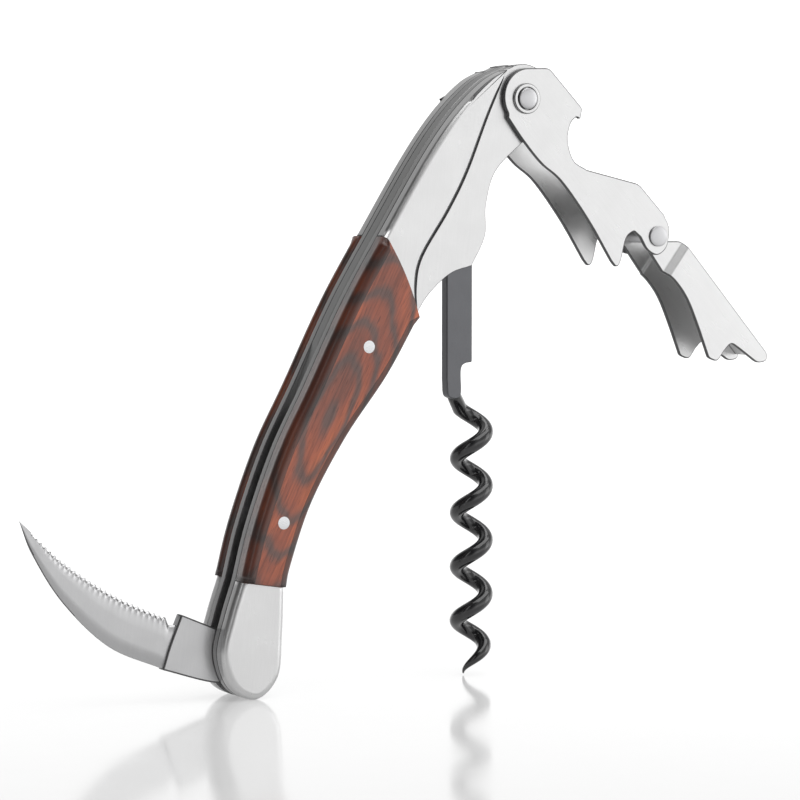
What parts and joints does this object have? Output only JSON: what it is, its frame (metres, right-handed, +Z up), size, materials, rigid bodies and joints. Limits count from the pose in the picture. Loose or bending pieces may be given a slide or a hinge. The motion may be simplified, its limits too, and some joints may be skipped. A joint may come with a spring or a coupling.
{
  "type": "waiters corkscrew",
  "caption": "Waiter's corkscrew with wood scales, a folding coated worm, a two-step lever with a cap opener and a folding serrated foil knife, standing open.",
  "frame": {"origin": "middle of the open tool's bounding box, on the surface that the handle's butt and the worm's point touch", "axes": "+X from the foil knife's point towards the lever's toe, +Y from the front scale to the back scale along every hinge's axis, +Z up along the hanging worm"},
  "size_m": [0.141, 0.0124, 0.1033],
  "materials": {
    "handle_steel": "satin, fine brushing across the piece",
    "lever_steel": "tumbled satin on folded sheet",
    "blade_steel": "satin, ground edge",
    "spring_steel": "dark satin",
    "pin_metal": "bright, peened",
    "wood": "resin-filled red-brown laminate, polished",
    "black_coating": "gloss non-stick coating over steel"
  },
  "bodies": {
    "handle": {"liner_front": "handle_steel", "liner_back": "handle_steel", "back_spring": "spring_steel", "scale_front": "wood", "scale_back": "wood", "upper_bolster_front": "handle_steel", "upper_bolster_back": "handle_steel", "lower_bolster_front": "handle_steel", "lower_bolster_back": "handle_steel", "scale_pin_upper": "pin_metal", "scale_pin_lower": "pin_metal", "spring_pin": "pin_metal", "worm_pivot_pin": "pin_metal", "blade_pivot_pin": "pin_metal", "lever_head_pin": "pin_metal", "head_pin_washer_front": "lever_steel", "head_pin_washer_back": "lever_steel"},
    "first_step": {"lever_upper": "lever_steel", "lever_joint_pin": "pin_metal"},
    "second_step": {"lever_lower": "lever_steel"},
    "worm": {"worm": "black_coating"},
    "knife": {"blade": "blade_steel"}
  },
  "joints": [
    {"name": "lever_hinge", "type": "hinge", "parent": "handle", "child": "first_step", "pos_m": [0.0197, 0, 0.0975], "axis": [0, 1, 0], "range_deg": [-70, 16]},
    {"name": "lever_step_hinge", "type": "hinge", "parent": "first_step", "child": "second_step", "pos_m": [0.0467, 0, 0.0742], "axis": [0, 1, 0], "range_deg": [-80, 8]},
    {"name": "worm_hinge", "type": "hinge", "parent": "handle", "child": "worm", "pos_m": [0.009, 0, 0.072], "axis": [0, 1, 0], "range_deg": [-40, 30]},
    {"name": "knife_hinge", "type": "hinge", "parent": "handle", "child": "knife", "pos_m": [-0.0308, 0, 0.0067], "axis": [0, 1, 0], "range_deg": [-90, 68]}
  ]
}
